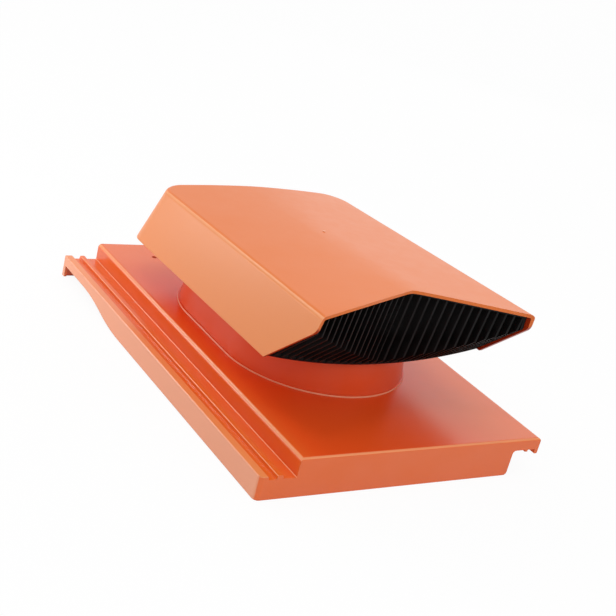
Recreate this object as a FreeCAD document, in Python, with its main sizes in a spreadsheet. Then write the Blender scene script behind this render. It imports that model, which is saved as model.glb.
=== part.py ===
import FreeCAD, Part
import math
import os
import Sketcher

# Roof tile vent: a moulded interlocking tile, a tapered neck with a tray, a hood and a black grille.
# X runs across the slope, Y up the slope to the tile's head, Z square to the tile's plate.
# The origin is the middle of the tile's footprint, on the plane that its skirts stand on.

# Driving dimensions in millimetres and degrees: name, value, what it measures.
SIZES = (
    ("tile_width", 300.0, "tile, across the slope over both side locks"),
    ("tile_length", 440.0, "tile, along the slope"),
    ("tile_height", 36.7, "top of the plate above the skirts' lower edge"),
    ("tile_wall", 3.0, "plate, skirts and walls of the tile"),
    ("lock_width", 35.5, "side lock on the left, from the edge to the plate's step"),
    ("lock_floor", 18.8, "channel of the side lock above the skirts' lower edge"),
    ("lock_rib_rise", 3.4, "ribs of the side lock above its channel"),
    ("outer_rib_width", 8.0, "rib along the tile's left edge"),
    ("lock_groove_width", 9.0, "groove between the two ribs"),
    ("inner_rib_width", 5.0, "second rib"),
    ("rib_draft", 0.7, "slope of each rib's flank, measured across"),
    ("overlap_width", 30.5, "cover strip on the right that lies on the next tile's lock"),
    ("overlap_base", 25.4, "underside of the cover strip's front end"),
    ("overlap_lip_width", 4.0, "lip along the tile's right edge"),
    ("overlap_lip_drop", 4.7, "that lip below the cover strip's underside"),
    ("bead_width", 3.0, "bead under the cover strip"),
    ("bead_inset", 13.0, "bead's outer flank from the tile's right edge"),
    ("bead_drop", 1.9, "bead below the cover strip's underside"),
    ("ramp_start", 284.0, "left wall's lower edge starts to rise, from the front"),
    ("ramp_end", 386.0, "left wall's lower edge stops rising, from the front"),
    ("ramp_rise", 12.2, "how far the left wall's lower edge rises"),
    ("hook_depth", 5.0, "rear hook that is left of the wall behind the ramp"),
    ("nail_spacing", 133.2, "between the two nail holes"),
    ("nail_hole", 5.6, "nail hole diameter"),
    ("nail_setback", 34.0, "nail holes from the tile's head edge"),
    ("plate_edge_radius", 4.0, "plate's left edge, above the step"),
    ("cover_edge_radius", 3.5, "plate's right edge"),
    ("front_edge_radius", 2.4, "plate's front edge"),
    ("corner_radius", 5.0, "upright corner at the left end of the front skirt"),
    ("rib_edge_radius", 1.0, "edges of the lock's ribs"),
    ("neck_radius", 92.9, "round ends of the neck's foot"),
    ("neck_rear_setback", 19.65, "neck's foot ahead of the hood's rear foot"),
    ("vent_shift", 3.0, "neck and hood, right of the tile's middle"),
    ("neck_rise", 44.6, "hood's lower edge above the plate, over the neck's middle"),
    ("neck_taper", 9.5, "lean of the neck's wall"),
    ("neck_wall", 3.0, "neck and tray"),
    ("foot_rim_width", 1.5, "rim around the neck's foot"),
    ("foot_rim_height", 1.8, "height of that rim"),
    ("foot_rim_radius", 1.0, "that rim's outer edge"),
    ("upstand_rise", 22.0, "tile's upstand inside the neck, above the plate"),
    ("upstand_gap", 0.8, "between the upstand and the neck"),
    ("weir_rise", 14.0, "rain weir around the neck's mouth, above the hood's lower edge"),
    ("hood_setback", 60.0, "hood's rear foot from the tile's head edge"),
    ("hood_length", 355.0, "from the hood's rear foot to its front tips"),
    ("hood_pitch", 1.8, "fall of the hood towards the rear"),
    ("hood_tip_width", 244.4, "hood across its lower edge, in line with the front tips"),
    ("hood_rear_width", 231.6, "hood across its lower edge, at the rear foot"),
    ("hood_side_draft", 7.9, "how far each side leans in by the shoulder"),
    ("hood_wall", 3.0, "hood"),
    ("hood_tip_rise", 62.6, "shoulder above the lower edge, at the front tips"),
    ("hood_rear_rise", 61.0, "shoulder above the lower edge, at the rear foot"),
    ("ridge_rise", 9.4, "ridge line above the shoulders, in front"),
    ("arch_rise", 5.0, "arched roof above the shoulders, at the rear"),
    ("crown_width", 24.0, "rounded top of the ridge, in front"),
    ("hood_rear_lean", 24.7, "lean of the hood's rear wall"),
    ("brow_depth", 38.4, "how far the front brow is drawn back at the ridge"),
    ("brow_radius", 10.0, "bend of the brow at the ridge, seen from above"),
    ("brow_lean", 9.4, "lean of the front opening below the brow"),
    ("cheek_setback", 58.0, "lower front corner of each side behind its tip"),
    ("cheek_lean", 48.0, "lean of each side's lower front edge"),
    ("cheek_radius", 14.0, "bend in each side's front edge"),
    ("shoulder_radius", 5.0, "edge between roof and sides"),
    ("rear_corner_radius", 27.0, "upright rear corners"),
    ("seat_rib_width", 3.0, "ribs inside the hood that stand on the tray"),
    ("seat_rib_depth", 6.0, "those ribs, inward from the wall"),
    ("seat_rib_rise", 40.0, "those ribs, above the hood's lower edge"),
    ("seat_rib_pitch", 70.0, "between those ribs along each side"),
    ("gate_diameter", 3.0, "moulding mark on the ridge"),
    ("gate_rise", 0.6, "height of that mark"),
    ("gate_setback", 185.0, "that mark behind the front tips"),
    ("grille_recess", 5.0, "grille behind the hood's front edge"),
    ("grille_depth", 16.0, "grille from front to back"),
    ("grille_frame", 2.2, "grille's frame"),
    ("chin_drop", 14.3, "middle of the grille's lower edge below the hood's"),
    ("chin_bulge", 15.0, "grille's lower face, forward in the middle"),
    ("weir_gap", 3.55, "between the grille's back and the neck's rain weir"),
    ("rail_depth", 10.0, "grille's lower rail, from its front back to the tray"),
    ("fin_pitch", 8.0, "between the grille's fins"),
    ("fin_thickness", 1.7, "each fin"),
    ("fit_gap", 0.3, "clearance between pieces that fit together"),
)

# Reach of the cutting forms past the solids that they trim, and of pockets past a face.
REACH = 30.0
PAST_FACE = 1.0

# Smallest radius that an inset wall's rounded edge is given.
LEAST_RADIUS = 0.6

# How near a point has to lie to count as on an edge.
NEAR = 0.01


class Size:
    """A dimension: its value, and the sheet expression that gives it."""

    def __init__(self, value, text):
        self.value = float(value)
        self.text = text

    def __add__(self, other):
        other = as_size(other)
        return Size(self.value + other.value, f"({self.text} + {other.text})")

    def __sub__(self, other):
        other = as_size(other)
        return Size(self.value - other.value, f"({self.text} - {other.text})")

    def __mul__(self, other):
        other = as_size(other)
        return Size(self.value * other.value, f"({self.text} * {other.text})")

    def __truediv__(self, other):
        other = as_size(other)
        return Size(self.value / other.value, f"({self.text} / {other.text})")

    def __neg__(self):
        return Size(-self.value, f"(0 - {self.text})")


def as_size(number):
    return number if isinstance(number, Size) else Size(number, repr(float(number)))


def tangent(angle):
    return Size(math.tan(math.radians(angle.value)), f"tan({angle.text} * 1deg)")


def sine(angle):
    return Size(math.sin(math.radians(angle.value)), f"sin({angle.text} * 1deg)")


def cosine(angle):
    return Size(math.cos(math.radians(angle.value)), f"cos({angle.text} * 1deg)")


def root(size):
    return Size(math.sqrt(size.value), f"sqrt({size.text})")


def inset_radius(radius, inset):
    """Radius of a rounded edge after its walls move inward."""
    size = radius - inset
    return Size(max(size.value, LEAST_RADIUS), f"max({size.text}; {LEAST_RADIUS})")


# The document and its sheet of sizes.

doc = FreeCAD.newDocument("roof_tile_vent")
sheet = doc.addObject("Spreadsheet::Sheet", "Sizes")
for row, (alias, value, note) in enumerate(SIZES, start=1):
    sheet.set(f"A{row}", alias)
    sheet.set(f"B{row}", str(value))
    sheet.setAlias(f"B{row}", alias)
    sheet.set(f"C{row}", note)
doc.recompute()
s = {alias: Size(value, f"Sizes.{alias}") for alias, value, note in SIZES}


# Places that several pieces share.

left = -s["tile_width"] / 2
right = s["tile_width"] / 2
front = -s["tile_length"] / 2
rear = s["tile_length"] / 2
plate_top = s["tile_height"]
hood_rear = rear - s["hood_setback"]
hood_tip = hood_rear - s["hood_length"]
cheek_corner = hood_tip + s["cheek_setback"]
cheek_slope = tangent(s["cheek_lean"])
brow_slope = tangent(s["brow_lean"])
rear_slope = tangent(s["hood_rear_lean"])
grille_foot = hood_tip + s["brow_depth"] + s["grille_recess"] + brow_slope * s["hood_tip_rise"]
neck_front = grille_foot + s["grille_depth"] + s["weir_gap"] - s["neck_rise"] * tangent(s["neck_taper"])
neck_rear = hood_rear - s["neck_rear_setback"]
neck_middle = (neck_front + neck_rear) / 2


def hood_base(y):
    """Height of the hood's lower edge at y."""
    fall = (y - neck_middle) * tangent(s["hood_pitch"])
    return plate_top + s["neck_rise"] - fall


def hood_half(y):
    """Half of the hood's width at its lower edge, at y."""
    share = (y - hood_tip) / s["hood_length"]
    return (s["hood_tip_width"] + (s["hood_rear_width"] - s["hood_tip_width"]) * share) / 2


def hood_rise(y):
    """Height of the hood's shoulders above its lower edge, at y."""
    share = (y - hood_tip) / s["hood_length"]
    return s["hood_tip_rise"] + (s["hood_rear_rise"] - s["hood_tip_rise"]) * share


# Helpers for sketches and features.

def bind(target, path, size):
    target.setExpression(path, as_size(size).text)


def new_body(label):
    body = doc.addObject("PartDesign::Body", label)
    body.Label = label
    return body


def new_sketch(body, plane, name, offset=0.0):
    """Sketch on an origin plane of the body, moved along the plane's normal by offset."""
    sketch = body.newObject("Sketcher::SketchObject", name)
    support = [item for item in body.Origin.OriginFeatures if item.Role == plane + "_Plane"][0]
    sketch.AttachmentSupport = [(support, "")]
    sketch.MapMode = "FlatFace"
    bind(sketch, "AttachmentOffset.Base.z", offset)
    return sketch


def fix_point(sketch, geometry, point, across, up):
    """Ties a sketch point to the sketch's origin by two dimensions."""
    for kind, size in (("DistanceX", as_size(across)), ("DistanceY", as_size(up))):
        index = sketch.addConstraint(Sketcher.Constraint(kind, -1, 1, geometry, point, size.value))
        bind(sketch, f"Constraints[{index}]", size)


def arc_between(start, end, radius, side):
    """Arc from start to end; side +1 bulges to the left of that direction, -1 to the right."""
    along = end - start
    middle = (start + end) * 0.5
    left = FreeCAD.Vector(-along.y, along.x, 0).normalize()
    to_centre = math.sqrt(max(radius ** 2 - (along.Length / 2) ** 2, 0.0))
    crown = middle + left * (side * (radius - to_centre))
    return Part.Arc(start, crown, end)


def outline(sketch, corners):
    """Closed outline. A corner is (x, y), or (x, y, radius, side) where an arc leads to the next one."""
    points = [FreeCAD.Vector(as_size(c[0]).value, as_size(c[1]).value, 0) for c in corners]
    first = sketch.GeometryCount
    count = len(corners)
    for i, corner in enumerate(corners):
        start = points[i]
        end = points[(i + 1) % count]
        if len(corner) == 4:
            sketch.addGeometry(arc_between(start, end, as_size(corner[2]).value, corner[3]))
        else:
            sketch.addGeometry(Part.LineSegment(start, end))
    starts, ends = arc_ends(sketch, first, points)
    for i, corner in enumerate(corners):
        following = (i + 1) % count
        sketch.addConstraint(
            Sketcher.Constraint("Coincident", first + i, ends[i], first + following, starts[following]))
        fix_point(sketch, first + i, starts[i], corner[0], corner[1])
    for i, corner in enumerate(corners):
        if len(corner) == 4:
            radius = as_size(corner[2])
            index = sketch.addConstraint(Sketcher.Constraint("Radius", first + i, radius.value))
            bind(sketch, f"Constraints[{index}]", radius)


def arc_ends(sketch, first, points):
    """Which end of each stretch lies on its own corner: an arc is always stored counterclockwise."""
    starts = []
    ends = []
    for i, point in enumerate(points):
        begins = sketch.getPoint(first + i, 1).distanceToPoint(point) < 1e-6
        starts.append(1 if begins else 2)
        ends.append(2 if begins else 1)
    return starts, ends


def rectangle(sketch, x_low, x_high, y_low, y_high):
    outline(sketch, [(x_low, y_low), (x_high, y_low), (x_high, y_high), (x_low, y_high)])


def circle(sketch, x, y, radius):
    radius = as_size(radius)
    centre = FreeCAD.Vector(as_size(x).value, as_size(y).value, 0)
    index = sketch.addGeometry(Part.Circle(centre, FreeCAD.Vector(0, 0, 1), radius.value))
    fix_point(sketch, index, 3, x, y)
    dimension = sketch.addConstraint(Sketcher.Constraint("Radius", index, radius.value))
    bind(sketch, f"Constraints[{dimension}]", radius)


def stadium(sketch, radius, margin=0.0):
    """The neck's plan: two round ends and two straight sides, grown by margin."""
    radius = as_size(radius) + margin
    x = s["vent_shift"]
    ends = (neck_front + s["neck_radius"], neck_rear - s["neck_radius"])
    up = FreeCAD.Vector(0, 0, 1)
    arcs = []
    for y, turn in zip(ends, (math.pi, 0.0)):
        round_end = Part.Circle(FreeCAD.Vector(x.value, y.value, 0), up, radius.value)
        arcs.append(sketch.addGeometry(Part.ArcOfCircle(round_end, turn, turn + math.pi)))
    front, rear = arcs
    right = sketch.addGeometry(
        Part.LineSegment(sketch.getPoint(front, 2), sketch.getPoint(rear, 1)))
    left = sketch.addGeometry(
        Part.LineSegment(sketch.getPoint(rear, 2), sketch.getPoint(front, 1)))
    joins = ((front, 2, right, 1), (right, 2, rear, 1), (rear, 2, left, 1), (left, 2, front, 1))
    for one, one_end, other, other_end in joins:
        sketch.addConstraint(Sketcher.Constraint("Tangent", one, one_end, other, other_end))
    for arc, y in zip(arcs, ends):
        fix_point(sketch, arc, 3, x, y)
        dimension = sketch.addConstraint(Sketcher.Constraint("Radius", arc, radius.value))
        bind(sketch, f"Constraints[{dimension}]", radius)


def ruled_loft(body, name, section, other):
    made = body.newObject("PartDesign::AdditiveLoft", name)
    made.Profile = section
    made.Sections = [other]
    made.Ruled = True
    doc.recompute()
    body.Tip = made
    return made


def feature(body, kind, name, sketch, length, midplane=False, reverse=False, taper=None, along=None):
    """Pad or Pocket of a sketch; along gives a slanted direction as an (x, y, z) of sizes."""
    made = body.newObject("PartDesign::" + kind, name)
    made.Profile = sketch
    bind(made, "Length", length)
    made.Midplane = midplane
    made.Reversed = reverse
    if taper is not None:
        bind(made, "TaperAngle", taper)
    if along is not None:
        made.UseCustomVector = True
        made.AlongSketchNormal = True
        made.Direction = FreeCAD.Vector(*(as_size(part).value for part in along))
        for axis, part in zip("xyz", along):
            bind(made, "Direction." + axis, part)
    sketch.Visibility = False
    doc.recompute()
    body.Tip = made
    return made


def round_edges(body, name, radius, chosen):
    """Fillet on the edges of the body for which chosen(edge) is true."""
    base = body.Tip
    names = [f"Edge{i}" for i, edge in enumerate(base.Shape.Edges, start=1) if chosen(edge)]
    if not names:
        raise ValueError(f"no edge found for {name}")
    fillet = body.newObject("PartDesign::Fillet", name)
    fillet.Base = (base, names)
    bind(fillet, "Radius", radius)
    doc.recompute()
    body.Tip = fillet
    return fillet


def middle_of(edge):
    low, high = edge.ParameterRange
    return edge.valueAt((low + high) / 2)


def climb_of(edge):
    """Share of an edge's direction that is upright, at its start."""
    return abs(edge.tangentAt(edge.FirstParameter).z)


def long_edge_at(x, z):
    """Chooses the edges along Y that pass through x and z."""
    def chosen(edge):
        spot = middle_of(edge)
        near = abs(spot.x - as_size(x).value) < NEAR and abs(spot.z - as_size(z).value) < NEAR
        return near and edge.Length > s["tile_length"].value / 2
    return chosen


def any_of(*tests):
    return lambda edge: any(test(edge) for test in tests)


# Base tile: one moulding, open underneath, with side locks, skirts and an upstand.

def base_tile():
    body = new_body("base_tile")
    rib_top = s["lock_floor"] + s["lock_rib_rise"]
    draft = s["rib_draft"]
    rib_1 = left + s["outer_rib_width"]
    rib_2 = rib_1 + s["lock_groove_width"]
    rib_3 = rib_2 + s["inner_rib_width"]
    step = left + s["lock_width"]
    cover = right - s["overlap_width"]
    lip = right - s["overlap_lip_width"]
    lip_base = s["overlap_base"] - s["overlap_lip_drop"]
    bead_right = right - s["bead_inset"]
    bead_left = bead_right - s["bead_width"]
    bead_base = s["overlap_base"] - s["bead_drop"]

    section = new_sketch(body, "XZ", "tile_section")
    outline(section, [
        (left, 0), (left, rib_top), (rib_1, rib_top), (rib_1 + draft, s["lock_floor"]),
        (rib_2 - draft, s["lock_floor"]), (rib_2, rib_top), (rib_3, rib_top),
        (rib_3 + draft, s["lock_floor"]), (step, s["lock_floor"]), (step, plate_top),
        (right, plate_top), (right, lip_base), (lip, lip_base), (lip, s["overlap_base"]),
        (bead_right, s["overlap_base"]), (bead_right, bead_base), (bead_left, bead_base),
        (bead_left, s["overlap_base"]), (cover, s["overlap_base"]), (cover, 0)])
    feature(body, "Pad", "tile_block", section, s["tile_length"], midplane=True)

    round_edges(body, "plate_edge", s["plate_edge_radius"], long_edge_at(step, plate_top))
    round_edges(body, "cover_edge", s["cover_edge_radius"],
                any_of(long_edge_at(right, plate_top), long_edge_at(cover, s["overlap_base"]),
                       long_edge_at(cover, 0)))
    round_edges(body, "rib_edges", s["rib_edge_radius"],
                any_of(*(long_edge_at(x, rib_top) for x in (left, rib_1, rib_2, rib_3)),
                       long_edge_at(right, lip_base), long_edge_at(lip, lip_base),
                       long_edge_at(step, s["lock_floor"])))

    # Rounded front edge of the plate, cut along X as one quarter round.
    nose = new_sketch(body, "YZ", "front_edge_section")
    radius = s["front_edge_radius"]
    outline(nose, [(front, plate_top - radius, radius, 1), (front + radius, plate_top),
                   (front - PAST_FACE, plate_top + PAST_FACE)])
    feature(body, "Pocket", "front_edge", nose, s["tile_width"] * 2, midplane=True)

    # Rounded upright corner at the left end of the front skirt.
    corner = new_sketch(body, "XY", "front_corner_plan")
    round_off = s["corner_radius"]
    outline(corner, [(left, front + round_off, round_off, -1), (left + round_off, front),
                     (left - PAST_FACE, front - PAST_FACE)])
    feature(body, "Pocket", "front_corner", corner, plate_top + PAST_FACE, reverse=True)

    hollow = new_sketch(body, "XY", "hollow_plan")
    wall = s["tile_wall"]
    for x_low, x_high in ((step + wall, cover - wall), (cover, bead_left), (bead_right, lip)):
        rectangle(hollow, x_low, x_high, front + wall, rear - wall)
    feature(body, "Pocket", "hollow", hollow, plate_top - wall, reverse=True)
    lock_hollow = new_sketch(body, "XY", "lock_hollow_plan")
    rectangle(lock_hollow, left + wall, step + wall * 2, front + wall, rear - wall)
    feature(body, "Pocket", "lock_hollow", lock_hollow, s["lock_floor"] - wall, reverse=True)

    # Lower edge of the left wall, rising in an S and ending at the rear hook.
    ramp = new_sketch(body, "YZ", "ramp_section", left)
    ramp_low = front + s["ramp_start"]
    ramp_high = front + s["ramp_end"]
    run = s["ramp_end"] - s["ramp_start"]
    bend = (run * run + s["ramp_rise"] * s["ramp_rise"]) / (s["ramp_rise"] * 4)
    hook = rear - s["hook_depth"]
    outline(ramp, [(ramp_low, 0, bend, -1), (ramp_low + run / 2, s["ramp_rise"] / 2, bend, 1),
                   (ramp_high, s["ramp_rise"]), (hook, s["ramp_rise"]), (hook, -PAST_FACE),
                   (ramp_low, -PAST_FACE)])
    feature(body, "Pocket", "ramp", ramp, wall * 2, reverse=True)

    upstand_radius = s["neck_radius"] - s["neck_wall"] - s["upstand_gap"]
    upstand = new_sketch(body, "XY", "upstand_plan", plate_top - wall)
    stadium(upstand, upstand_radius)
    feature(body, "Pad", "upstand", upstand, s["upstand_rise"] + wall, taper=-s["neck_taper"])
    mouth = new_sketch(body, "XY", "mouth_plan")
    stadium(mouth, upstand_radius, -(s["upstand_rise"] + wall) * tangent(s["neck_taper"]) - wall)
    feature(body, "Pocket", "mouth", mouth, plate_top + s["upstand_rise"] + PAST_FACE,
            reverse=True)

    nails = new_sketch(body, "XY", "nail_plan")
    for side in (-0.5, 0.5):
        circle(nails, s["vent_shift"] + s["nail_spacing"] * side, rear - s["nail_setback"],
               s["nail_hole"] / 2)
    feature(body, "Pocket", "nail_holes", nails, plate_top + PAST_FACE, reverse=True)
    return body


# Shapes that the hood, the tray and the grille share.

def hood_section(body, name, y, arched, inset, drop):
    """Cross-section of the hood at y, its walls moved inward by inset and its foot down by drop."""
    sketch = new_sketch(body, "XZ", name, -y)
    x = s["vent_shift"]
    half = hood_half(y) - inset
    top = half - s["hood_side_draft"]
    shoulder = hood_base(y) + hood_rise(y) - inset
    foot = half + s["hood_side_draft"] * drop / hood_rise(y)
    low = hood_base(y) - drop
    crown = s["crown_width"] / 2 * top / (hood_half(hood_tip) - s["hood_side_draft"])
    if arched:
        radius = (top * top + s["arch_rise"] * s["arch_rise"]) / (s["arch_rise"] * 2)
        crown_z = shoulder + s["arch_rise"] - radius + root(radius * radius - crown * crown)
        slope_bulge = (radius, 1)
    else:
        slope = s["ridge_rise"] / top
        crown_z = shoulder + slope * (top - crown)
        radius = crown * root(slope * slope + 1) / slope
        slope_bulge = ()
    outline(sketch, [
        (x - foot, low), (x - top, shoulder, *slope_bulge), (x - crown, crown_z, radius, 1),
        (x + crown, crown_z, *slope_bulge), (x + top, shoulder), (x + foot, low)])
    return sketch


def hood_run(label, inset, drop):
    """Roof and sides of the hood as a solid run, inset from its outside and longer than it."""
    inset = as_size(inset)
    drop = as_size(drop)
    body = new_body(label)
    behind = hood_section(body, label + "_behind", hood_rear + REACH, True, inset, drop)
    ahead = hood_section(body, label + "_ahead", hood_tip - REACH, False, inset, drop)
    ruled_loft(body, label + "_loft", behind, ahead)
    return body


def at_roof(edge):
    """Whether an edge lies at the level of the roof."""
    return middle_of(edge).z > hood_base(hood_rear).value + s["hood_rear_rise"].value * 0.8


def is_shoulder(edge):
    """Chooses the two long edges between roof and sides."""
    beside = abs(middle_of(edge).x - s["vent_shift"].value) > hood_half(hood_rear).value / 2
    return at_roof(edge) and beside and edge.Length > s["hood_length"].value / 2


def at_rear(edge):
    """Whether an edge lies in the rear half of the hood."""
    return middle_of(edge).y > hood_tip.value + s["hood_length"].value / 2


def cut_rear(body, label, inset, drop):
    """Cuts the leaning rear wall and rounds its two upright corners."""
    foot = hood_rear - inset / cosine(s["hood_rear_lean"])
    base = hood_base(hood_rear)
    low = base - drop - REACH
    high = base + s["hood_tip_rise"] + REACH
    behind = hood_rear + REACH * 3
    section = new_sketch(body, "YZ", label + "_rear_section")
    outline(section, [
        (foot + (drop + REACH) * rear_slope, low), (behind, low), (behind, high),
        (foot - (s["hood_tip_rise"] + REACH) * rear_slope, high)])
    feature(body, "Pocket", label + "_rear", section, s["hood_tip_width"] * 2, midplane=True)
    round_edges(body, label + "_rear_corners", inset_radius(s["rear_corner_radius"], inset),
                lambda edge: at_rear(edge) and climb_of(edge) > 0.5)


def hood_form(label, inset, drop):
    """Solid of the hood with its leaning rear and rounded edges, before the front is cut."""
    inset = as_size(inset)
    drop = as_size(drop)
    body = hood_run(label, inset, drop)
    cut_rear(body, label, inset, drop)
    rear_top = (hood_rear - s["hood_tip_rise"]).value
    round_edges(body, label + "_eaves", inset_radius(s["shoulder_radius"], inset),
                any_of(is_shoulder, lambda edge: at_roof(edge) and middle_of(edge).y > rear_top))
    return body


def boolean(kind, name, base, tool):
    made = doc.addObject("Part::" + kind, name)
    made.Base = base
    made.Tool = tool
    doc.recompute()
    return made


def block(name, x_low, x_high, y_low, y_high, z_low, z_high):
    """Box between two corners given as sizes."""
    box = doc.addObject("Part::Box", name)
    spans = ((x_low, x_high, "Length"), (y_low, y_high, "Width"), (z_low, z_high, "Height"))
    for axis, (low, high, span) in zip("xyz", spans):
        bind(box, "Placement.Base." + axis, low)
        bind(box, span, as_size(high) - low)
    return box


def brow_cutter(body, name, setback):
    """Everything in front of the drawn-back brow, moved back by setback."""
    shoulder = hood_base(hood_tip) + s["hood_tip_rise"]
    x = s["vent_shift"]
    far = s["hood_tip_width"]
    tip_half = hood_half(hood_tip) - s["hood_side_draft"]
    apex = hood_tip + s["brow_depth"] + setback - brow_slope * REACH
    side = apex - s["brow_depth"] / tip_half * far
    ahead = hood_tip - s["hood_length"]
    plan = new_sketch(body, "XY", name + "_plan", shoulder + REACH)
    outline(plan, [(x, apex), (x - far, side), (x - far, ahead), (x + far, ahead), (x + far, side)])
    depth = s["hood_tip_rise"] + REACH * 3
    feature(body, "Pad", name, plan, depth, along=(0, brow_slope, -1))
    round_edges(body, name + "_apex", s["brow_radius"],
                lambda edge: abs(middle_of(edge).x - x.value) < NEAR
                and edge.Length > s["hood_tip_rise"].value)


# Neck: a tapered wall on the plate, with a tray that closes the hood underneath.

def before_tray(label, clearance):
    """Everything in front of the tray's front edge, moved back by clearance."""
    x = s["vent_shift"]
    far = s["hood_tip_width"]
    return block(label, x - far, x + far, hood_tip - REACH * 2, grille_foot + s["rail_depth"] + clearance,
                 plate_top, hood_base(hood_tip) + s["hood_tip_rise"])


def is_foot_rim(edge):
    """Chooses the outer edge on top of the rim around the neck's foot."""
    spot = middle_of(edge)
    width = s["foot_rim_width"]
    at_side = abs(abs(spot.x - s["vent_shift"].value) - (s["neck_radius"] + width).value) < NEAR
    at_front = abs(spot.y - (neck_front - width).value) < NEAR
    at_back = abs(spot.y - (neck_rear + width).value) < NEAR
    on_top = abs(spot.z - (plate_top + s["foot_rim_height"]).value) < NEAR
    return on_top and (at_side or at_front or at_back)


def neck():
    body = new_body("neck_tube")
    rise = s["neck_rise"] + s["weir_rise"]
    foot = new_sketch(body, "XY", "foot_plan", plate_top)
    stadium(foot, s["neck_radius"])
    feature(body, "Pad", "neck_wall", foot, rise, taper=-s["neck_taper"])
    rim = new_sketch(body, "XY", "foot_rim_plan", plate_top)
    stadium(rim, s["neck_radius"], s["foot_rim_width"])
    feature(body, "Pad", "foot_rim", rim, s["foot_rim_height"])
    round_edges(body, "foot_rim_edge", s["foot_rim_radius"], is_foot_rim)

    inset = s["hood_wall"] + s["fit_gap"]
    floor = hood_run("tray_run", inset, 0.0)
    cut_rear(floor, "tray_run", inset, as_size(0.0))
    above = hood_run("tray_above", -REACH, -s["neck_wall"])
    tray = boolean("Cut", "tray_slab", floor, above)
    tray = boolean("Cut", "tray", tray, before_tray("before_tray", s["fit_gap"]))
    solid = boolean("Fuse", "neck_solid", body, tray)

    bore = new_body("neck_bore")
    duct = new_sketch(bore, "XY", "duct_plan", plate_top)
    stadium(duct, s["neck_radius"] - s["neck_wall"])
    feature(bore, "Pad", "duct", duct, rise + PAST_FACE, taper=-s["neck_taper"])
    return boolean("Cut", "neck", solid, bore)


# Hood: a roof with a fading ridge over two sides and a leaning rear wall, open below and in front.

def hood_front():
    """Cutting form for the hood's front opening: the brow, and the bent front edge of each side."""
    body = new_body("hood_front")
    brow_cutter(body, "hood_brow", as_size(0.0))
    shoulder = hood_base(hood_tip) + s["hood_tip_rise"]
    corner_z = hood_base(cheek_corner)
    ahead = hood_tip - s["hood_length"]
    climb = (s["cheek_setback"] - (shoulder - corner_z) * brow_slope) / (cheek_slope - brow_slope)
    bend_y = cheek_corner - climb * cheek_slope
    bend_z = corner_z + climb
    run = s["cheek_radius"] * tangent((s["cheek_lean"] - s["brow_lean"]) / 2)
    low = corner_z - REACH
    high = shoulder + REACH
    section = new_sketch(body, "YZ", "cheek_section")
    outline(section, [
        (cheek_corner + cheek_slope * REACH, low),
        (bend_y + run * sine(s["cheek_lean"]), bend_z - run * cosine(s["cheek_lean"]),
         s["cheek_radius"], 1),
        (bend_y - run * sine(s["brow_lean"]), bend_z + run * cosine(s["brow_lean"])),
        (hood_tip - brow_slope * REACH, high), (ahead, high), (ahead, low)])
    feature(body, "Pad", "cheeks", section, s["hood_tip_width"] * 2, midplane=True)
    return body


def seat_ribs():
    """Ribs inside the hood's sides that stand on the tray."""
    x = s["vent_shift"]
    ribs = []
    for side in (-1, 1):
        for step in (-1, 0, 1):
            y = neck_middle + s["seat_rib_pitch"] * step
            inner = x + (hood_half(y) - s["hood_wall"] - s["seat_rib_depth"]) * side
            outer = x + hood_half(y) * side
            x_low, x_high = (outer, inner) if side < 0 else (inner, outer)
            half = s["seat_rib_width"] / 2
            ribs.append(block(f"seat_rib_{len(ribs)}", x_low, x_high, y - half, y + half,
                              plate_top + s["neck_rise"] / 2, hood_base(y) + s["seat_rib_rise"]))
    rib_set = doc.addObject("Part::MultiFuse", "seat_ribs")
    rib_set.Shapes = ribs
    above_tray = hood_run("above_tray", s["hood_wall"] / 2, -s["neck_wall"])
    return boolean("Common", "seat_ribs_trimmed", rib_set, above_tray)


def gate_mark():
    """Small round moulding mark on the ridge."""
    y = hood_tip + s["gate_setback"]
    mark = doc.addObject("Part::Cylinder", "gate_mark")
    ahead = s["ridge_rise"] - s["ridge_rise"] / (hood_half(hood_tip) * 4) * s["crown_width"]
    share = (s["gate_setback"] + REACH) / (s["hood_length"] + REACH * 2)
    ridge = hood_base(y) + hood_rise(y) + ahead + (s["arch_rise"] - ahead) * share
    bind(mark, "Radius", s["gate_diameter"] / 2)
    bind(mark, "Height", s["gate_rise"] + s["hood_wall"] / 2)
    bind(mark, "Placement.Base.x", s["vent_shift"])
    bind(mark, "Placement.Base.y", y)
    bind(mark, "Placement.Base.z", ridge - s["hood_wall"] / 2)
    return mark


def hood():
    outer = hood_form("hood_outer", 0.0, 0.0)
    core = hood_form("hood_core", s["hood_wall"], s["neck_wall"])
    shell = boolean("Cut", "hood_shell", outer, core)
    ribbed = boolean("Fuse", "hood_ribbed", shell, seat_ribs())
    opened = boolean("Cut", "hood_opened", ribbed, hood_front())
    return boolean("Fuse", "hood", opened, gate_mark())


# Grille: upright fins in a frame that follows the hood's opening, with a bulging chin and a bowed rail.

def grille_face(label, setback):
    """Cutting form for the face of the grille, moved back by setback: a brow over a bulging chin."""
    body = new_body(label)
    brow_cutter(body, label + "_brow", s["grille_recess"] + setback)
    x = s["vent_shift"]
    far = hood_half(hood_tip)
    bulge = s["chin_bulge"]
    radius = (far * far + bulge * bulge) / (bulge * 2)
    climb = s["hood_tip_rise"]
    side = cheek_corner + s["grille_recess"] + setback - cheek_slope * climb
    ahead = hood_tip - s["hood_length"]
    plan = new_sketch(body, "XY", label + "_chin_plan", hood_base(cheek_corner) + climb)
    outline(plan, [(x - far, side, radius, -1), (x + far, side), (x + far, ahead), (x - far, ahead)])
    feature(body, "Pad", label + "_chin", plan, climb + REACH * 2, along=(0, cheek_slope, -1))
    return body


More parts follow.
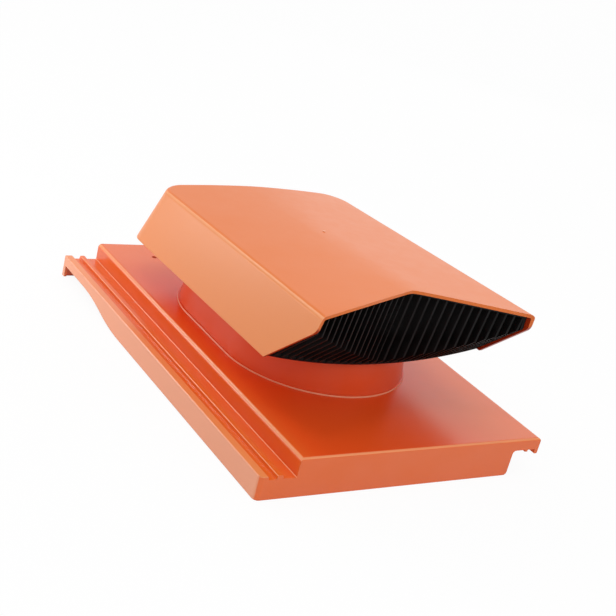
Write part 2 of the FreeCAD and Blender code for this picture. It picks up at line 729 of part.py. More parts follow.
def under_chin(label, lift):
    """Everything below the bowed lower edge of the grille, raised by lift."""
    body = new_body(label)
    x = s["vent_shift"]
    far = hood_half(hood_tip)
    drop = s["chin_drop"]
    radius = (far * far + drop * drop) / (drop * 2)
    side = hood_base(cheek_corner) + lift
    low = side - drop - REACH
    section = new_sketch(body, "XZ", label + "_section")
    outline(section, [(x - far, side, radius, -1), (x + far, side), (x + far, low), (x - far, low)])
    feature(body, "Pad", label + "_block", section, s["tile_length"] * 2, midplane=True)
    return body


def tray_room():
    """Room that the grille leaves for the tray behind its lower rail."""
    below = hood_run("tray_room_below", -REACH, REACH)
    above = hood_run("tray_room_above", -REACH * 2, -s["neck_wall"])
    slab = boolean("Cut", "tray_room_slab", below, above)
    return boolean("Cut", "tray_room", slab, before_tray("before_tray_room", 0.0))


def rail_room():
    """Room between the fins below the tray, closed at the back and below by the grille's rail."""
    ahead = before_tray("before_rail", -s["grille_frame"])
    return boolean("Cut", "rail_room", ahead, under_chin("under_rail", s["grille_frame"]))


def grille_run(label, inset, drop):
    """Inside of the hood, less inset, with its two shoulders rounded."""
    body = hood_run(label, inset, drop)
    round_edges(body, label + "_eaves", inset_radius(s["shoulder_radius"], inset), is_shoulder)
    return body


def grille():
    inset = s["hood_wall"] + s["fit_gap"]
    face = grille_face("grille_face", as_size(0.0))
    back = grille_face("grille_back", s["grille_depth"])
    form = grille_run("grille_form", inset, s["chin_drop"] + s["grille_frame"])
    slab = boolean("Cut", "grille_slab", boolean("Common", "grille_front_part", form, back), face)
    bowed = boolean("Cut", "grille_bowed", slab, under_chin("under_chin", 0.0))
    envelope = boolean("Cut", "grille_envelope", bowed, tray_room())
    border = inset + s["grille_frame"]
    inside = grille_run("grille_inside", border, -(s["neck_wall"] + s["grille_frame"]))
    reach = hood_half(cheek_corner) - border
    between = block("between_sides", s["vent_shift"] - reach, s["vent_shift"] + reach, hood_tip - REACH * 2,
                    hood_rear, plate_top, hood_base(cheek_corner) + s["neck_wall"] + s["grille_frame"] * 2)
    narrowed = boolean("Common", "rail_room_narrowed", rail_room(), between)
    count = int(reach.value * 2 / s["fin_pitch"].value)
    half = s["fin_thickness"] / 2
    fins = []
    for i in range(count):
        x = s["vent_shift"] + s["fin_pitch"] * (i - (count - 1) / 2)
        fins.append(block(f"fin_{i}", x - half, x + half, hood_tip - REACH * 2, hood_rear + REACH * 2,
                          plate_top, hood_base(hood_tip) + s["hood_tip_rise"] + REACH))
    fin_set = doc.addObject("Part::Compound", "fin_set")
    fin_set.Links = fins
    room = boolean("Fuse", "grille_room", inside, narrowed)
    slots = boolean("Cut", "grille_slots", room, fin_set)
    return boolean("Cut", "grille", envelope, slots)


pieces = [base_tile(), neck(), hood(), grille()]
doc.recompute()

for item in doc.Objects:
    if "Invalid" in item.State or "Error" in item.State:
        raise RuntimeError(f"{item.Name} failed: {item.State}")
for piece in pieces:
    if piece.Shape.isNull() or not piece.Shape.isValid():
        raise RuntimeError(f"{piece.Label} has no valid shape")

os.makedirs("parts", exist_ok=True)
for piece in pieces:
    piece.Shape.exportStep(f"parts/{piece.Label}.step")
    print(piece.Label, len(piece.Shape.Solids), round(piece.Shape.Volume), piece.Shape.optimalBoundingBox())
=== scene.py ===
import math

import bpy
from bpy.props import FloatProperty, FloatVectorProperty, PointerProperty
from mathutils import Matrix, Vector


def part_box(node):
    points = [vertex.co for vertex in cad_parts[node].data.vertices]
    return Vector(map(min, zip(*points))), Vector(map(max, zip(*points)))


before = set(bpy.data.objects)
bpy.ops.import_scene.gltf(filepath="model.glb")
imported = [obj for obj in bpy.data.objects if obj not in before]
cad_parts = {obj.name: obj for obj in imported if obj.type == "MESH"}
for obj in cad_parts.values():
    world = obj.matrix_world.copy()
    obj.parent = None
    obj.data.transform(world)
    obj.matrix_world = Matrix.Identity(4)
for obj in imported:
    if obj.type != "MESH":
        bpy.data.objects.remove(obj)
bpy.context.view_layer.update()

bl_info = {
    "name": "Roof Tile Vent",
    "version": (1, 0, 0),
    "blender": (4, 5, 0),
    "location": "View3D > Sidebar > Tile Vent",
    "description": "Finishes a moulded roof tile vent and sets it in a white studio",
    "category": "Object",
}

# Lengths over which the painted sheen on the left wall and the painted highlight along the neck's foot fade
# out, in metres.
WALL_SHEEN_FADE = 0.0006
SEAM_HIGHLIGHT_FADE = 0.0003
# Lines where the plate's painted shade around the neck, under the hood, sets in: axis, where it begins and
# where it is full, in metres.
PLATE_SHADE_FADES = (("X", 0.12, 0.02), ("X", -0.130, -0.092), ("Y", 0.20, 0.08), ("Y", -0.2198, -0.217))
# The same for the painted highlight on the top of the side lock's outer rib, which ends at the rib's inner
# side.
RIB_HIGHLIGHT_FADES = (("Z", 0.0208, 0.0218), ("X", -0.1415, -0.1435))
# Middle of the round moulding mark in plan, and radii where its painted glint ends and is full, in metres.
GATE_PLACE = (0.003, -0.010, 0.0)
GATE_GLINT_RADII = (0.0018, 0.0015)
# Ways that surfaces face, for the painted shade, sheen and highlights: up, down, to the sides, on the tile's
# upper edges and on the hood's shoulders.
UP = (0.0, 0.0, 1.0)
DOWN = (0.0, 0.0, -1.0)
SIDE_WAYS = ((-1.0, 0.0, 0.0), (1.0, 0.0, 0.0))
TILE_EDGE_WAYS = ((-0.7, 0.0, 0.714), (0.7, 0.0, 0.714), (0.0, -0.7, 0.714), (0.0, 0.7, 0.714))
SHOULDER_WAYS = ((-0.74, 0.0, 0.673), (0.74, 0.0, 0.673))
# Cosines to those ways at which a surface begins to count as facing them, and at which it fully does.
SIDE_COSINES = (0.5, 0.8)
TILE_EDGE_COSINES = (0.87, 0.97)
SHOULDER_COSINES = (0.955, 0.985)
GATE_COSINES = (0.5, 0.8)
UNDERSIDE_COSINES = (0.1, 0.5)
# Place times normal, both across the hood, where a face begins to count as inner for the painted underside
# shade and where it fully does.
INNER_REACH = (-0.03, -0.06)
# Cosines between a rounded normal and the flat one where the painted highlight on a sharp edge begins and is
# full.
EDGE_HIGHLIGHT_COSINES = (0.98, 0.8)
# Middle of a noise's range, which is stretched to the whole.
NOISE_MIDDLE = (0.35, 0.65)
# Detail of each noise, how much finer the uneven gloss is than the clouds, and samples that round an edge.
CLOUD_DETAIL = 4.0
GLOSS_DETAIL = 5.0
SINK_DETAIL = 1.0
GRAIN_DETAIL = 2.0
GLOSS_FINENESS = 4
EDGE_SAMPLES = 8
FIN_EDGE_SAMPLES = 6
# Backdrop at full white, and the sensor that the camera's lens is given for, in millimetres.
WHITE = (1.0, 1.0, 1.0)
WHITE_STRENGTH = 1.0
SENSOR_WIDTH = 36.0

# Softboxes: azimuth from +X and elevation in degrees, distance, width and height in metres, radiance.
SOFTBOX_AIM = Vector((0.0, 0.0, 0.06))
SOFTBOXES = {
    "front_key": (240, 36, 2.0, 0.35, 0.35, 4.0),
    "front_softbox": (262, 14, 2.0, 0.9, 0.6, 1.5),
    "right_softbox": (300, 30, 2.0, 0.5, 0.5, 1.5),
    "right_panel": (42, 16, 2.0, 1.0, 0.8, 0.35),
    "left_panel": (132, 5, 0.75, 0.32, 0.26, 0.9),
    "low_panel": (140, 2, 0.6, 0.3, 0.14, 3.6),
    "rear_edge_lamp": (116, 33, 1.8, 0.3, 0.3, 12.0),
    "top_edge_lamp": (200, 66, 1.8, 0.2, 0.2, 12.0),
}


class TerracottaFinish(bpy.types.PropertyGroup):
    """Satin terracotta plastic of the tile, the neck and the hood."""

    # The tile's colour away from the painted shade around the neck.
    tile_colour: FloatVectorProperty(
        name="Tile Colour", description="Colour of the tile where it lies open",
        subtype="COLOR", min=0.0, max=1.0, default=(0.80, 0.135, 0.017))
    # Partly the neck's own colour, partly painted shade: it is deeper red than the tile's open colour, for
    # the shade of the hood over it.
    neck_colour_and_shade: FloatVectorProperty(
        name="Neck Colour", description="Colour of the neck",
        subtype="COLOR", min=0.0, max=1.0, default=(0.82, 0.080, 0.011))
    hood_colour: FloatVectorProperty(
        name="Hood Colour", description="Colour of the hood's roof and rear",
        subtype="COLOR", min=0.0, max=1.0, default=(0.78, 0.180, 0.024))
    # Painted shade: the plate's deeper colour around the neck stands in for the shade of the hood over it.
    plate_shade_colour: FloatVectorProperty(
        name="Sheltered Colour", description="Deeper colour of the plate around the neck",
        subtype="COLOR", min=0.0, max=1.0, default=(0.84, 0.085, 0.012))
    # Painted shade: the deeper colour of the hood's downward and inward faces stands in for the shade there.
    underside_shade_colour: FloatVectorProperty(
        name="Underside Colour", description="Deeper colour of the hood's faces that look down or inwards",
        subtype="COLOR", min=0.0, max=1.0, default=(0.36, 0.032, 0.005))
    # Painted sheen: the sides' paler colour stands in for the light and reflection on them.
    side_sheen_colour: FloatVectorProperty(
        name="Side Colour", description="Slightly paler colour of the hood's sides",
        subtype="COLOR", min=0.0, max=1.0, default=(0.79, 0.250, 0.073))
    # Painted highlight on the tile's rounded edges and on the top of the lock's outer rib.
    edge_highlight_colour: FloatVectorProperty(
        name="Edge Colour", description="Paler colour of the tile's edges and of the lock's outer rib",
        subtype="COLOR", min=0.0, max=1.0, default=(0.84, 0.26, 0.085))
    # Painted highlight along the hood's rounded shoulders.
    shoulder_highlight_colour: FloatVectorProperty(
        name="Shoulder Colour", description="Paler colour along the hood's rounded shoulders",
        subtype="COLOR", min=0.0, max=1.0, default=(0.84, 0.32, 0.125))
    # Painted glint: the paler colour on the moulding mark stands in for a highlight on it.
    gate_glint_colour: FloatVectorProperty(
        name="Gate Colour", description="Paler colour of the round moulding mark on the ridge",
        subtype="COLOR", min=0.0, max=1.0, default=(0.90, 0.46, 0.28))
    # Painted sheen: the left wall's paler colour stands in for the light and reflection it gets from the
    # left.
    wall_sheen_colour: FloatVectorProperty(
        name="Wall Colour", description="Paler colour of the tile's left wall",
        subtype="COLOR", min=0.0, max=1.0, default=(0.85, 0.33, 0.175))
    # Painted highlight: the pale line along the neck's foot stands in for light on its rim.
    seam_highlight_colour: FloatVectorProperty(
        name="Seam Colour", description="Paler colour along the seam at the neck's foot",
        subtype="COLOR", min=0.0, max=1.0, default=(0.92, 0.40, 0.23))
    tile_gloss: FloatProperty(
        name="Tile Gloss", description="Refractive index of the tile's skin", min=1.0, max=2.0, default=1.5)
    neck_gloss: FloatProperty(
        name="Neck Gloss", description="Refractive index of the neck's skin", min=1.0, max=2.0, default=1.29)
    hood_gloss: FloatProperty(
        name="Hood Gloss", description="Refractive index of the hood's skin", min=1.0, max=2.0, default=1.33)
    # How far in the painted sheen on the left wall goes.
    wall_sheen_depth: FloatProperty(
        name="Wall Depth", description="How far in from the tile's left side that colour goes",
        unit="LENGTH", min=0.0, default=0.001)
    # Height of that painted highlight.
    seam_highlight_height: FloatProperty(
        name="Seam Height", description="Height of that seam above the neck's lower end",
        unit="LENGTH", min=0.0, default=0.0012)
    cloud_paleness: FloatProperty(
        name="Cloud Paleness", description="How much paler the plastic is where the pigment lies thinner",
        subtype="FACTOR", min=0.0, max=1.0, default=0.012)
    # Painted highlight along sharp edges.
    edge_highlight_paleness: FloatProperty(
        name="Edge Paleness", description="How much paler the plastic is along sharp edges",
        subtype="FACTOR", min=0.0, max=1.0, default=0.06)
    cloud_size: FloatProperty(
        name="Cloud Size", description="Width of a cloud in the pigment",
        unit="LENGTH", min=0.001, default=0.045)
    grain_size: FloatProperty(
        name="Grain Size", description="Width of a grain of the mould's fine texture",
        unit="LENGTH", min=0.0001, default=0.0008)
    grain_depth: FloatProperty(
        name="Grain Depth", description="Depth of that texture",
        unit="LENGTH", min=0.0, default=0.00001)
    sink_size: FloatProperty(
        name="Sink Size", description="Width of the soft waves that cooling leaves in a wall",
        unit="LENGTH", min=0.001, default=0.05)
    sink_depth: FloatProperty(
        name="Sink Depth", description="Depth of those waves",
        unit="LENGTH", min=0.0, default=0.000008)
    edge_radius: FloatProperty(
        name="Edge Radius", description="Rounding of the moulding's sharp edges",
        unit="LENGTH", min=0.0, default=0.0003)
    roughness_low: FloatProperty(
        name="Lowest Roughness", description="Roughness where the mould was smoothest",
        subtype="FACTOR", min=0.0, max=1.0, default=0.23)
    roughness_high: FloatProperty(
        name="Highest Roughness", description="Roughness where the mould was dullest",
        subtype="FACTOR", min=0.0, max=1.0, default=0.265)
    hood_dulling: FloatProperty(
        name="Hood Dulling", description="How much rougher the hood's skin is than the tile's",
        subtype="FACTOR", min=0.0, max=0.5, default=0.075)


class BlackFinish(bpy.types.PropertyGroup):
    """Matte black plastic of the grille."""

    colour: FloatVectorProperty(
        name="Colour", description="Pigment of the grille",
        subtype="COLOR", min=0.0, max=1.0, default=(0.0030, 0.0030, 0.0031))
    dusty_colour: FloatVectorProperty(
        name="Dusty Colour", description="Where the grille looks a little greyer",
        subtype="COLOR", min=0.0, max=1.0, default=(0.0050, 0.0050, 0.0052))
    cloud_size: FloatProperty(
        name="Cloud Size", description="Width of a greyer cloud",
        unit="LENGTH", min=0.001, default=0.02)
    grain_size: FloatProperty(
        name="Grain Size", description="Width of a grain of the mould's texture",
        unit="LENGTH", min=0.0001, default=0.0006)
    grain_depth: FloatProperty(
        name="Grain Depth", description="Depth of that texture",
        unit="LENGTH", min=0.0, default=0.00003)
    edge_radius: FloatProperty(
        name="Edge Radius", description="Rounding of each fin's edges",
        unit="LENGTH", min=0.0, default=0.0004)
    gloss: FloatProperty(
        name="Gloss", description="Refractive index of the grille's skin", min=1.0, max=2.0, default=1.27)
    roughness_low: FloatProperty(
        name="Lowest Roughness", description="Roughness where the fins are smoothest",
        subtype="FACTOR", min=0.0, max=1.0, default=0.55)
    roughness_high: FloatProperty(
        name="Highest Roughness", description="Roughness where the fins are dullest",
        subtype="FACTOR", min=0.0, max=1.0, default=0.7)


class StudioSetup(bpy.types.PropertyGroup):
    """Floor, light and camera."""

    floor_colour: FloatVectorProperty(
        name="Floor Colour", description="Pale studio floor",
        subtype="COLOR", min=0.0, max=1.0, default=(0.88, 0.88, 0.88))
    floor_size: FloatProperty(
        name="Floor Size", description="Side of the square floor",
        unit="LENGTH", min=1.0, default=60.0)
    floor_white: FloatProperty(
        name="Floor White", description="Share of plain white in what the camera sees of the floor",
        subtype="FACTOR", min=0.0, max=1.0, default=0.94)
    sky_strength: FloatProperty(
        name="Sky Strength", description="Even light from overhead", min=0.0, default=1.0)
    sky_base: FloatProperty(
        name="Sky Base", description="Rise, as a share of straight up, where that light begins",
        subtype="FACTOR", min=0.0, max=1.0, default=0.15)
    sky_full: FloatProperty(
        name="Sky Full", description="Rise, as a share of straight up, where that light is full",
        subtype="FACTOR", min=0.0, max=1.0, default=0.55)
    camera_place: FloatVectorProperty(
        name="Camera Place", description="Where the camera stands",
        subtype="TRANSLATION", unit="LENGTH", default=(-0.64805, -0.90035, 0.49736))
    camera_aim: FloatVectorProperty(
        name="Camera Aim", description="Point in the middle of the picture",
        subtype="TRANSLATION", unit="LENGTH", default=(0.02245, 0.01000, 0.06018))
    camera_roll: FloatProperty(
        name="Camera Roll", description="Turn of the camera about its line of sight",
        subtype="ANGLE", default=math.radians(14.72))
    camera_lens: FloatProperty(
        name="Camera Lens", description="Focal length on a sensor 36 mm wide",
        unit="CAMERA", min=1.0, default=70.883)


class Nodes:
    """Adds shader nodes to one tree and links them."""

    def __init__(self, tree):
        self.tree = tree
        tree.nodes.clear()

    def put(self, socket, value):
        """Links a socket to another node's output, or sets it to a plain value."""
        if isinstance(value, bpy.types.NodeSocket):
            self.tree.links.new(value, socket)
        elif socket.type == "RGBA":
            socket.default_value = (*value, 1.0)
        else:
            socket.default_value = value

    def add(self, kind, settings=None, **inputs):
        """Adds a node with its settings and its inputs by name."""
        node = self.tree.nodes.new(kind)
        for name, value in (settings or {}).items():
            setattr(node, name, value)
        for name, value in inputs.items():
            self.put(node.inputs[name.replace("_", " ")], value)
        return node

    def add_in_order(self, kind, settings, *inputs):
        """Adds a node with its settings and its first inputs in order."""
        node = self.add(kind, settings)
        for socket, value in zip(node.inputs, inputs):
            self.put(socket, value)
        return node

    def maths(self, operation, first, second):
        return self.add_in_order("ShaderNodeMath", {"operation": operation}, first, second).outputs[0]

    def vector_maths(self, operation, first, second, output):
        node = self.add_in_order("ShaderNodeVectorMath", {"operation": operation}, first, second)
        return node.outputs[output]

    def mix_shaders(self, share, first, second):
        return self.add_in_order("ShaderNodeMixShader", None, share, first, second).outputs[0]

    def ramp(self, value, start, end, low=0.0, high=1.0, kind="LINEAR"):
        """Goes from low to high as a value goes from start to end."""
        span = self.add("ShaderNodeMapRange", {"interpolation_type": kind}, Value=value, From_Min=start,
                        From_Max=end, To_Min=low, To_Max=high)
        return span.outputs["Result"]

    def fades(self, place, lines):
        """Product of soft steps from 0 to 1, each along one axis."""
        spot = self.add("ShaderNodeSeparateXYZ", Vector=place)
        share = 1.0
        for axis, start, end in lines:
            step = self.ramp(spot.outputs[axis], start, end, kind="SMOOTHSTEP")
            share = self.maths("MULTIPLY", share, step)
        return share

    def along(self, vector, axis):
        return self.add("ShaderNodeSeparateXYZ", Vector=vector).outputs[axis]

    def normal(self):
        return self.add("ShaderNodeNewGeometry").outputs["Normal"]

    def noise(self, place, size, detail):
        """Value from 0 to 1 in soft spots of a given width."""
        return self.add("ShaderNodeTexNoise", Vector=place, Scale=1.0 / size, Detail=detail).outputs["Fac"]

    def between(self, factor, low, high):
        """Stretches the middle of a noise to the range from low to high."""
        return self.ramp(factor, *NOISE_MIDDLE, low, high)

    def blend(self, factor, low, high):
        """Mixes two colours."""
        mix = self.add("ShaderNodeMix", {"data_type": "RGBA"})
        colours = [socket for socket in mix.inputs if socket.type == "RGBA"]
        for socket, value in zip((mix.inputs[0], *colours), (factor, low, high)):
            self.put(socket, value)
        return next(socket for socket in mix.outputs if socket.type == "RGBA")

    def bump(self, height, depth, normal):
        return self.add("ShaderNodeBump", Height=height, Distance=depth, Normal=normal).outputs["Normal"]

    def rounded(self, samples, radius):
        """Normal that rounds sharp edges."""
        return self.add("ShaderNodeBevel", {"samples": samples}, Radius=radius).outputs["Normal"]

    def plastic(self, colour, roughness, normal, gloss):
        """Ends a material in a plastic surface."""
        surface = self.add("ShaderNodeBsdfPrincipled", Base_Color=colour, Roughness=roughness, Normal=normal,
                           IOR=gloss)
        self.add("ShaderNodeOutputMaterial", Surface=surface.outputs["BSDF"])

    def background_rays(self):
        """1 for the rays that see the studio's white backdrop, whole or mirrored, and 0 for its light."""
        path = self.add("ShaderNodeLightPath").outputs
        mirrored = self.maths("MAXIMUM", path["Is Glossy Ray"], path["Is Transmission Ray"])
        return self.maths("MAXIMUM", path["Is Camera Ray"], mirrored)


def new_material(name):
    """Empty material and its nodes."""
    material = bpy.data.materials.new(name)
    material.use_nodes = True
    return material, Nodes(material.node_tree)


def paler(colour, share):
    """Colour moved towards white by a share."""
    return [part + (1.0 - part) * share for part in colour]


def facing(nodes, way, least, most):
    """0 where a surface faces a way by the least cosine or under, 1 where by the most or over."""
    turn = nodes.vector_maths("DOT_PRODUCT", nodes.normal(), way, "Value")
    return nodes.ramp(turn, least, most, kind="SMOOTHSTEP")


def any_facing(nodes, ways, least, most):
    """1 where a surface faces one of several ways, as facing does for one."""
    share = 0.0
    for way in ways:
        share = nodes.maths("ADD", share, facing(nodes, way, least, most))
    return share


# Zones of the terracotta pieces, which paint shade, sheen, highlights and a glint into the colour: each is 1
# where its colour lies and 0 elsewhere.
def painted_plate_shade(nodes, place, finish):
    """Painted shade on the plate around the neck, under the hood, fading out towards the tile's open sides,
    and not on its outer walls.
    """
    return nodes.fades(place, PLATE_SHADE_FADES)


def painted_rib_highlight(nodes, place, finish):
    """Painted highlight on the top of the side lock's outer rib."""
    return nodes.fades(place, RIB_HIGHLIGHT_FADES)


def painted_edge_highlights(nodes, place, finish):
    """Painted highlights on the tile's rounded upper edges."""
    return any_facing(nodes, TILE_EDGE_WAYS, *TILE_EDGE_COSINES)


def painted_wall_sheen(nodes, place, finish):
    """Painted sheen on the tile's left wall, standing in for the light and reflection it gets from the left.
    """
    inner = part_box("base_tile")[0][0] + finish.wall_sheen_depth
    return nodes.ramp(nodes.along(place, "X"), inner, inner - WALL_SHEEN_FADE)


def painted_foot_highlight(nodes, place, finish):
    """Painted highlight along the rim at the neck's foot."""
    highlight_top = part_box("neck")[0][2] + finish.seam_highlight_height
    return nodes.ramp(nodes.along(place, "Z"), highlight_top + SEAM_HIGHLIGHT_FADE, highlight_top)


def painted_side_sheen(nodes, place, finish):
    """Painted sheen on the hood's sides."""
    return any_facing(nodes, SIDE_WAYS, *SIDE_COSINES)


def painted_shoulder_highlights(nodes, place, finish):
    """Painted highlights along the rounded edges between the hood's roof and its sides."""
    return any_facing(nodes, SHOULDER_WAYS, *SHOULDER_COSINES)


def painted_gate_glint(nodes, place, finish):
    """Painted glint on the round moulding mark on the ridge."""
    plan = nodes.vector_maths("MULTIPLY", place, (1.0, 1.0, 0.0), "Vector")
    away = nodes.vector_maths("DISTANCE", plan, GATE_PLACE, "Value")
    return nodes.maths("MULTIPLY", nodes.ramp(away, *GATE_GLINT_RADII), facing(nodes, UP, *GATE_COSINES))


def painted_underside_shade(nodes, place, finish):
    """Painted shade on the hood's faces that look down or inwards."""
    low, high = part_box("hood")
    outwards = nodes.maths("SUBTRACT", nodes.along(place, "X"), (low[0] + high[0]) / 2)
    turn = nodes.maths("MULTIPLY", outwards, nodes.along(nodes.normal(), "X"))
    return nodes.maths("ADD", facing(nodes, DOWN, *UNDERSIDE_COSINES), nodes.ramp(turn, *INNER_REACH))


def terracotta_plastic(name, finish, pigment, gloss, zones=(), dulling=0.0):
    """Satin plastic with a fine mould texture, soft waves, painted highlights on sharp edges and zones of
    painted shade, sheen and highlights.
    """
    material, nodes = new_material(name)
    place = nodes.add("ShaderNodeTexCoord").outputs["Object"]
    rounded = nodes.rounded(EDGE_SAMPLES, finish.edge_radius)
    # Where the rounded normal turns from the flat one, the colour is paled as a painted edge highlight.
    turn = nodes.vector_maths("DOT_PRODUCT", rounded, nodes.normal(), "Value")
    edge = nodes.ramp(turn, *EDGE_HIGHLIGHT_COSINES)

    cloud = nodes.between(nodes.noise(place, finish.cloud_size, CLOUD_DETAIL), 0.0, 1.0)
    clouded = nodes.blend(cloud, pigment, paler(pigment, finish.cloud_paleness))
    colour = nodes.blend(edge, clouded, paler(pigment, finish.edge_highlight_paleness))
    for zone, zone_colour in zones:
        colour = nodes.blend(zone(nodes, place, finish), colour, zone_colour)
    dullness = nodes.between(nodes.noise(place, finish.cloud_size / GLOSS_FINENESS, GLOSS_DETAIL),
                             finish.roughness_low + dulling, finish.roughness_high + dulling)

    waved = nodes.bump(nodes.noise(place, finish.sink_size, SINK_DETAIL), finish.sink_depth, rounded)
    grained = nodes.bump(nodes.noise(place, finish.grain_size, GRAIN_DETAIL), finish.grain_depth, waved)
    nodes.plastic(colour, dullness, grained, gloss)
    return material


def black_plastic(name, finish):
    """Matte black plastic with a fine mould texture."""
    material, nodes = new_material(name)
    place = nodes.add("ShaderNodeTexCoord").outputs["Object"]
    rounded = nodes.rounded(FIN_EDGE_SAMPLES, finish.edge_radius)
    cloud = nodes.between(nodes.noise(place, finish.cloud_size, CLOUD_DETAIL), 0.0, 1.0)
    colour = nodes.blend(cloud, finish.colour, finish.dusty_colour)
    dullness = nodes.between(cloud, finish.roughness_low, finish.roughness_high)
    grained = nodes.bump(nodes.noise(place, finish.grain_size, GRAIN_DETAIL), finish.grain_depth, rounded)
    nodes.plastic(colour, dullness, grained, finish.gloss)
    return material


def dress(node, material):
    """Gives a CAD node its finish."""
    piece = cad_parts[node]
    piece.data.materials.clear()
    piece.data.materials.append(material)


class VENT_OT_finish_base_tile(bpy.types.Operator):
    """Finish the tile with its side locks and skirts"""

    bl_idname = "vent.finish_base_tile"
    bl_label = "Finish Base Tile"

    def execute(self, context):
        finish = context.scene.vent_terracotta
        # The zones paint shade on the plate, highlights on the rib and the edges, and sheen on the left
        # wall.
        dress("base_tile", terracotta_plastic("tile_plastic", finish, finish.tile_colour, finish.tile_gloss,
                                              ((painted_plate_shade, finish.plate_shade_colour),
                                               (painted_rib_highlight, finish.edge_highlight_colour),
                                               (painted_edge_highlights, finish.edge_highlight_colour),
                                               (painted_wall_sheen, finish.wall_sheen_colour))))
        return {"FINISHED"}


class VENT_OT_finish_neck(bpy.types.Operator):
    """Finish the oblong neck and its tray"""

    bl_idname = "vent.finish_neck"
    bl_label = "Finish Neck"

    def execute(self, context):
        finish = context.scene.vent_terracotta
        # The zone paints a highlight along the neck's foot.
        dress("neck", terracotta_plastic("neck_plastic", finish, finish.neck_colour_and_shade, finish.neck_gloss,
                                         ((painted_foot_highlight, finish.seam_highlight_colour),)))
        return {"FINISHED"}


class VENT_OT_finish_hood(bpy.types.Operator):
    """Finish the hood"""

    bl_idname = "vent.finish_hood"
    bl_label = "Finish Hood"

    def execute(self, context):
        finish = context.scene.vent_terracotta
        # The zones paint sheen on the sides, highlights on the shoulders, a glint on the moulding mark and
        # shade underneath.
        dress("hood", terracotta_plastic("hood_plastic", finish, finish.hood_colour, finish.hood_gloss,
                                         ((painted_side_sheen, finish.side_sheen_colour),
                                          (painted_shoulder_highlights, finish.shoulder_highlight_colour),
                                          (painted_gate_glint, finish.gate_glint_colour),
                                          (painted_underside_shade, finish.underside_shade_colour)),
                                         finish.hood_dulling))
        return {"FINISHED"}


class VENT_OT_finish_grille(bpy.types.Operator):
    """Finish the black grille"""

    bl_idname = "vent.finish_grille"
    bl_label = "Finish Grille"

    def execute(self, context):
        dress("grille", black_plastic("grille_plastic", context.scene.vent_black))
        return {"FINISHED"}


def studio_floor(setup):
    """Pale floor that the camera sees as nearly white, with the part's shadow."""
    half = setup.floor_size / 2
    corners = [(-half, -half, 0), (half, -half, 0), (half, half, 0), (-half, half, 0)]
    mesh = bpy.data.meshes.new("studio_floor")
    mesh.from_pydata(corners, [], [(0, 1, 2, 3)])
    floor = bpy.data.objects.new("studio_floor", mesh)
    bpy.context.scene.collection.objects.link(floor)
    material, nodes = new_material("floor_paint")
    share = nodes.maths("MULTIPLY", nodes.background_rays(), setup.floor_white)
    paint = nodes.add("ShaderNodeBsdfDiffuse", Color=setup.floor_colour).outputs["BSDF"]
    white = nodes.add("ShaderNodeEmission", Color=WHITE, Strength=WHITE_STRENGTH).outputs["Emission"]
    nodes.add("ShaderNodeOutputMaterial", Surface=nodes.mix_shaders(share, paint, white))
    mesh.materials.append(material)


def studio_sky(setup):
    """Even light from overhead, in front of a backdrop that is seen as white."""
    world = bpy.data.worlds.new("studio_sky")
    world.use_nodes = True
    nodes = Nodes(world.node_tree)
    rise = nodes.along(nodes.add("ShaderNodeTexCoord").outputs["Generated"], "Z")
    dome = nodes.ramp(rise, setup.sky_base, setup.sky_full, high=setup.sky_strength, kind="SMOOTHSTEP")
    light = nodes.add("ShaderNodeBackground", Color=WHITE, Strength=dome).outputs["Background"]
    white = nodes.add("ShaderNodeBackground", Color=WHITE, Strength=WHITE_STRENGTH).outputs["Background"]
    nodes.add("ShaderNodeOutputWorld", Surface=nodes.mix_shaders(nodes.background_rays(), light, white))
    bpy.context.scene.world = world


def softbox(name, azimuth, elevation, distance, width, height, radiance):
    """Soft rectangular lamp that faces the part; its power follows from its radiance and its area."""
    light = bpy.data.lights.new(name, "AREA")
    light.shape = "RECTANGLE"
    light.size = width
    light.size_y = height
    light.energy = radiance * math.pi * width * height
    lamp = bpy.data.objects.new(name, light)
    across = math.radians(azimuth)
    up = math.radians(elevation)
    way = Vector((math.cos(across) * math.cos(up), math.sin(across) * math.cos(up), math.sin(up)))
    lamp.location = SOFTBOX_AIM + way * distance
    lamp.rotation_euler = (-way).to_track_quat("-Z", "Y").to_euler()
    lamp.visible_camera = False
    bpy.context.scene.collection.objects.link(lamp)


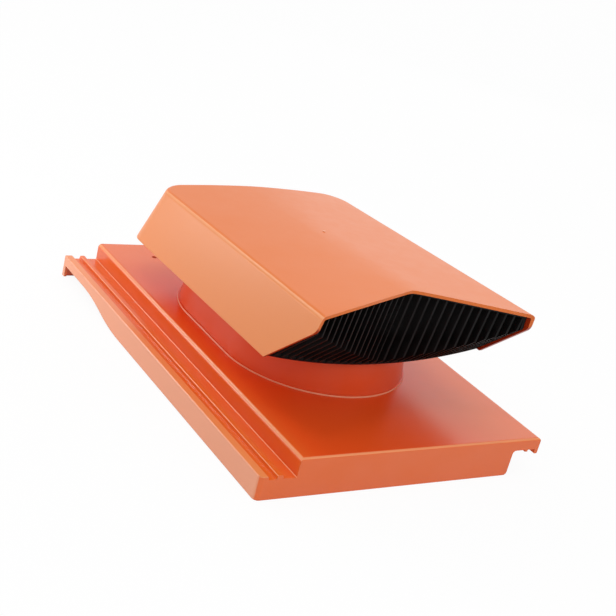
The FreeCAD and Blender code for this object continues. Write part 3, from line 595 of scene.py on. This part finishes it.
def studio_camera(setup):
    """Camera at the angle of the picture."""
    camera = bpy.data.objects.new("camera", bpy.data.cameras.new("camera"))
    camera.data.sensor_width = SENSOR_WIDTH
    camera.data.lens = setup.camera_lens
    place = Vector(setup.camera_place)
    sight = (Vector(setup.camera_aim) - place).to_track_quat("-Z", "Y").to_matrix().to_4x4()
    camera.matrix_world = Matrix.Translation(place) @ sight @ Matrix.Rotation(setup.camera_roll, 4, "Z")
    bpy.context.scene.collection.objects.link(camera)
    bpy.context.scene.camera = camera


class VENT_OT_set_stage(bpy.types.Operator):
    """Set the floor, the light and the camera"""

    bl_idname = "vent.set_stage"
    bl_label = "Set Stage"

    def execute(self, context):
        setup = context.scene.vent_studio
        context.scene.view_settings.view_transform = "Standard"
        studio_floor(setup)
        studio_sky(setup)
        for name, settings in SOFTBOXES.items():
            softbox(name, *settings)
        studio_camera(setup)
        return {"FINISHED"}


class VENT_PT_sidebar(bpy.types.Panel):
    """Finishes and stage of the roof tile vent"""

    bl_idname = "VENT_PT_sidebar"
    bl_label = "Roof Tile Vent"
    bl_space_type = "VIEW_3D"
    bl_region_type = "UI"
    bl_category = "Tile Vent"

    def draw(self, context):
        layout = self.layout
        for operator in OPERATORS:
            layout.operator(operator.bl_idname)
        for group in GROUPS:
            layout.separator()
            settings = getattr(context.scene, group)
            for name in settings.__annotations__:
                layout.prop(settings, name)


GROUPS = {
    "vent_terracotta": TerracottaFinish,
    "vent_black": BlackFinish,
    "vent_studio": StudioSetup,
}
OPERATORS = (
    VENT_OT_finish_base_tile,
    VENT_OT_finish_neck,
    VENT_OT_finish_hood,
    VENT_OT_finish_grille,
    VENT_OT_set_stage,
)
CLASSES = (*GROUPS.values(), *OPERATORS, VENT_PT_sidebar)


def register():
    for item in CLASSES:
        bpy.utils.register_class(item)
    for name, group in GROUPS.items():
        setattr(bpy.types.Scene, name, PointerProperty(type=group))


def unregister():
    for name in GROUPS:
        delattr(bpy.types.Scene, name)
    for item in reversed(CLASSES):
        bpy.utils.unregister_class(item)


def main():
    register()
    bpy.ops.vent.finish_base_tile()
    bpy.ops.vent.finish_neck()
    bpy.ops.vent.finish_hood()
    bpy.ops.vent.finish_grille()
    bpy.ops.vent.set_stage()


if __name__ == "__main__":
    main()
